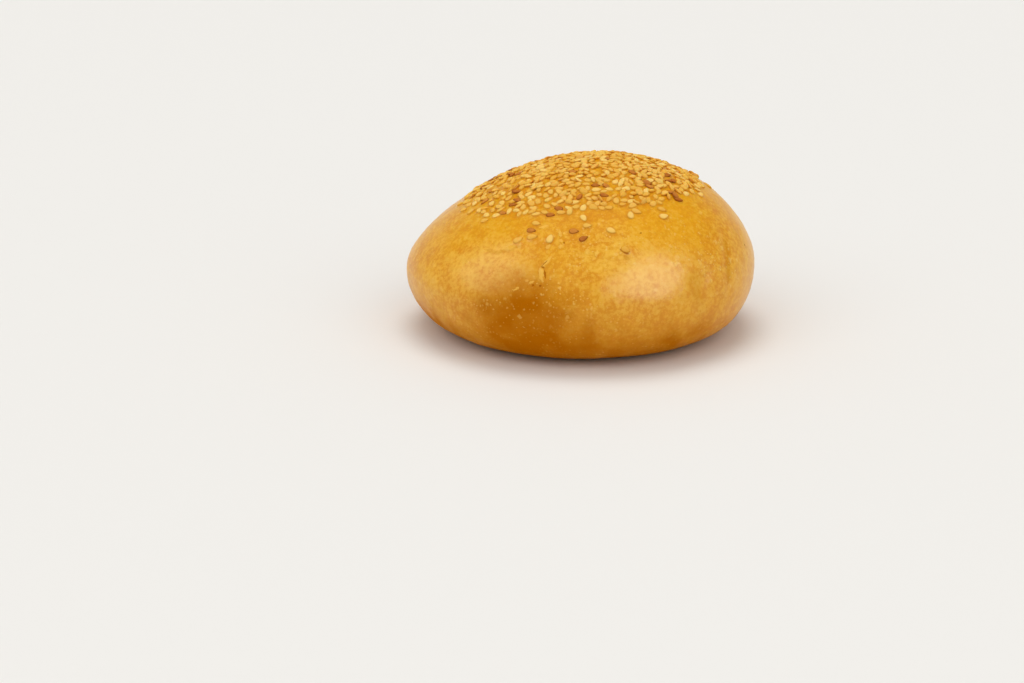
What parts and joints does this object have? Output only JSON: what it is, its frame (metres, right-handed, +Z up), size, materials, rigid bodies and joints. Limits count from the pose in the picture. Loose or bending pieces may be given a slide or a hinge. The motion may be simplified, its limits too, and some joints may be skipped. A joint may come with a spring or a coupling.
{
  "type": "sesame burger bun",
  "caption": "Whole domed burger bun, flat underneath, with a golden baked crust and sesame seeds baked onto its crown.",
  "frame": {"origin": "on the flat underside, below the middle of the bun's outline", "axes": "+Z up through the crown, +X towards the steeper flank, -Y towards the picture's camera"},
  "size_m": [0.1093, 0.1062, 0.0539],
  "materials": {
    "crust": "golden baked crust with a soft satin sheen",
    "sesame": "baked sesame seed, from pale cream to toasted brown"
  },
  "bodies": {
    "root": {"bun": "crust"}
  },
  "joints": []
}
